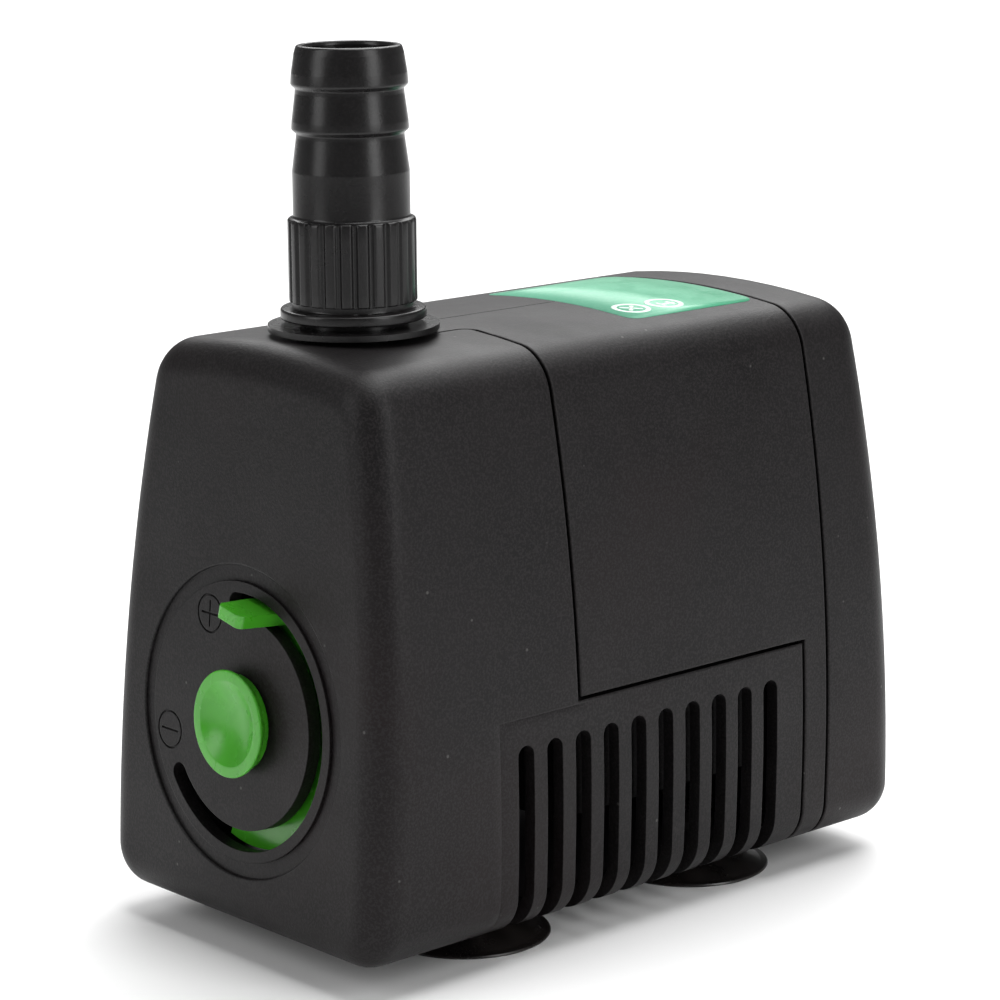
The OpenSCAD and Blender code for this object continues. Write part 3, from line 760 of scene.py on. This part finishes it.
def roof_patch(name, outline, lift, depth, material):
    """A thin sheet that follows the roof, with the given outline seen from above."""
    bm = bmesh.new()
    face = bm.faces.new([bm.verts.new((x * MM, y * MM, 0)) for x, y in outline])
    for k in range(-19, 20):
        plane = Vector((k * MM, 0, 0))
        geometry = bm.verts[:] + bm.edges[:] + bm.faces[:]
        bmesh.ops.bisect_plane(bm, geom=geometry, plane_co=plane, plane_no=(1, 0, 0))
    for vert in bm.verts:
        vert.co.z = (roof_z(vert.co.x / MM) + lift) * MM
    bmesh.ops.recalc_face_normals(bm, faces=bm.faces)
    for face in bm.faces:
        if face.normal.z < 0:
            face.normal_flip()
    obj = new_object(name, bm, material)
    return apply_modifier(obj, "SOLIDIFY", thickness=depth * MM, offset=-1)


def roof_ring(name, x, y, inner, outer, material):
    """A flat printed ring on the roof."""
    bm = bmesh.new()
    steps = 48
    rings = []
    for radius in (inner, outer):
        ring = []
        for i in range(steps):
            a = 2 * math.pi * i / steps
            px, py = x + radius * math.cos(a), y + radius * math.sin(a)
            ring.append(bm.verts.new((px * MM, py * MM, (roof_z(px) + 0.075) * MM)))
        rings.append(ring)
    for i in range(steps):
        j = (i + 1) % steps
        bm.faces.new((rings[0][i], rings[1][i], rings[1][j], rings[0][j]))
    obj = new_object(name, bm, material)
    return apply_modifier(obj, "SOLIDIFY", thickness=0.01 * MM, offset=-1)


def roof_bar(name, x, y, length, width, angle, material):
    """A flat printed bar on the roof, turned by angle about its middle."""
    c, s = math.cos(angle), math.sin(angle)
    half_l, half_w = length / 2, width / 2
    corners = [(-half_l, -half_w), (half_l, -half_w), (half_l, half_w), (-half_l, half_w)]
    outline = [(x + u * c - v * s, y + u * s + v * c) for u, v in corners]
    return roof_patch(name, outline, 0.075, 0.01, material)


def label_print(white):
    """Two round signs and a few plain bars in place of the maker's printing."""
    cross_y, post_y = SIGN_YS
    post_x = SIGN_X + 0.5
    prints = [roof_ring("sign_ring", SIGN_X, y, 2.6, 3.6, white) for y in SIGN_YS]
    prints += [roof_bar("sign_bar", SIGN_X, cross_y, 4.2, 0.8, a, white) for a in (math.pi / 4, -math.pi / 4)]
    prints += [roof_bar("sign_bar", post_x, post_y, 4.2, 0.8, math.pi / 2, white)]
    prints += [roof_bar("sign_bar", post_x, post_y + d, 2.6, 0.8, 0, white) for d in (-1.2, 1.2)]
    obj = join_objects(prints, "label_print")
    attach(obj, "housing")


def label(film, white):
    corners = [(-LABEL_HALF_W, LABEL_Y0), (LABEL_HALF_W, LABEL_Y0), (LABEL_HALF_W, LABEL_Y1),
               (-LABEL_HALF_W, LABEL_Y1)]
    obj = roof_patch("rating_label_film", rounded(corners, 3, 8), 0.06, 0.2, film)
    own(obj, "housing", ["rating_label"])
    label_print(white)


# ---------------------------------------------------------------- stage, light and camera
def area_light(name, place, target, size, power):
    data = bpy.data.lights.new(name, "AREA")
    data.shape = "RECTANGLE"
    data.size, data.size_y = size
    data.energy = power
    obj = bpy.data.objects.new(name, data)
    obj.location = place
    obj.rotation_euler = (Vector(target) - Vector(place)).to_track_quat("-Z", "Y").to_euler()
    bpy.context.scene.collection.objects.link(obj)


def floor():
    m = Nodes("floor_white")
    m.link(m.ramp(m.noise(3, 2), [(0.3, (0.90, 0.90, 0.90)), (0.7, (0.93, 0.93, 0.93))]),
           m.shader.inputs["Base Color"])
    m.shader.inputs["Roughness"].default_value = 0.85
    bm = bmesh.new()
    reach = 6.0
    corners = [(-reach, -reach), (reach, -reach), (reach, reach), (-reach, reach)]
    bm.faces.new([bm.verts.new((x, y, 0)) for x, y in corners])
    new_object("floor", bm, m.material)


def camera():
    target = Vector((5.4, -8.4, 72.0)) * MM
    azimuth, elevation, roll = math.radians(48.1), math.radians(12.38), math.radians(-0.52)
    distance = 592.6 * MM
    ahead = Vector((-math.sin(azimuth) * math.cos(elevation), math.cos(azimuth) * math.cos(elevation),
                    -math.sin(elevation)))
    right = Vector((math.cos(azimuth), math.sin(azimuth), 0))
    up = right.cross(ahead)
    turned_right = right * math.cos(roll) + up * math.sin(roll)
    turned_up = up * math.cos(roll) - right * math.sin(roll)
    data = bpy.data.cameras.new("camera")
    data.sensor_width = 36.0
    data.lens = 121.2
    data.clip_start = 0.01
    obj = bpy.data.objects.new("camera", data)
    axes = Matrix((turned_right, turned_up, -ahead)).transposed().to_4x4()
    obj.matrix_world = Matrix.Translation(target - ahead * distance) @ axes
    bpy.context.scene.collection.objects.link(obj)
    bpy.context.scene.camera = obj


def lights():
    area_light("left_softbox", (-0.22, -0.80, 0.50), (0, 0, 0.07), (0.35, 0.8), 2.7)
    area_light("right_softbox", (0.80, 0.12, 0.45), (0, 0, 0.07), (0.35, 0.8), 3.7)
    area_light("backdrop_light", (-1.7, 1.6, 1.6), (-1.5, 1.4, 0), (2.2, 2.2), 60)
    area_light("top_softbox", (0.0, 0.25, 1.1), (0, 0, 0.05), (0.9, 0.9), 14)
    world = bpy.data.worlds.new("studio")
    world.use_nodes = True
    background = world.node_tree.nodes["Background"]
    background.inputs["Color"].default_value = (1, 1, 1, 1)
    background.inputs["Strength"].default_value = 0.2
    bpy.context.scene.world = world
    bpy.context.scene.view_settings.view_transform = "Standard"


# ---------------------------------------------------------------- build
housing_plastic = moulded_plastic("housing_plastic", (0.0048, 0.0043, 0.0046), (0.0072, 0.0063, 0.0066),
                                  rough=0.45, grain=0.5, edge_mm=0.2, specular=0.18)
fitting_plastic = moulded_plastic("fitting_plastic", (0.0042, 0.0038, 0.0040), (0.0055, 0.005, 0.0052),
                                  rough=0.27, grain=0.15, edge_mm=0.0, specular=0.34)
green = green_plastic()
black_rubber = rubber()
film = label_film()
finishes = {
    "housing_plastic": housing_plastic,
    "fitting_plastic": fitting_plastic,
    "green_plastic": green,
    "black_rubber": black_rubber,
    "label_film": film,
    "lamination_steel": plain("lamination_steel", (0.22, 0.22, 0.23), (0.42, 0.42, 0.43), 0.38, 1.0, 900,
                              (0.05, 1.0, 0.05), 0.3),
    "copper_wire": plain("copper_wire", (0.42, 0.14, 0.05), (0.66, 0.28, 0.12), 0.3, 1.0, 700,
                         (0.1, 0.1, 1.4), 0.5),
    "bobbin_plastic": plain("bobbin_plastic", (0.62, 0.58, 0.48), (0.74, 0.71, 0.62), 0.5),
    "resin": plain("resin", (0.012, 0.012, 0.014), (0.03, 0.03, 0.033), 0.35),
    "ferrite": plain("ferrite", (0.035, 0.035, 0.04), (0.08, 0.08, 0.085), 0.55, 0.2, 300),
    "white_plastic": plain("white_plastic", (0.72, 0.72, 0.69), (0.83, 0.83, 0.81), 0.35),
    "ceramic": plain("ceramic", (0.78, 0.76, 0.70), (0.88, 0.87, 0.83), 0.18),
}
for entry in frame["record"]["subparts"]:
    node = frame["nodes"][entry["node"]]
    node.data.materials.clear()
    node.data.materials.append(finishes[entry["material_slot"]])

front_cover(housing_plastic)
motor_housing(housing_plastic)
rear_cap(housing_plastic)
hose_adapter(fitting_plastic)
regulator_button(green)
for cup in ("front_left_cup", "front_right_cup", "rear_left_cup", "rear_right_cup"):
    suction_cup(cup, black_rubber)
label(film, plain("label_white", (0.62, 0.80, 0.70), (0.74, 0.86, 0.78), 0.4, edge_mm=0))
floor()
lights()
camera()
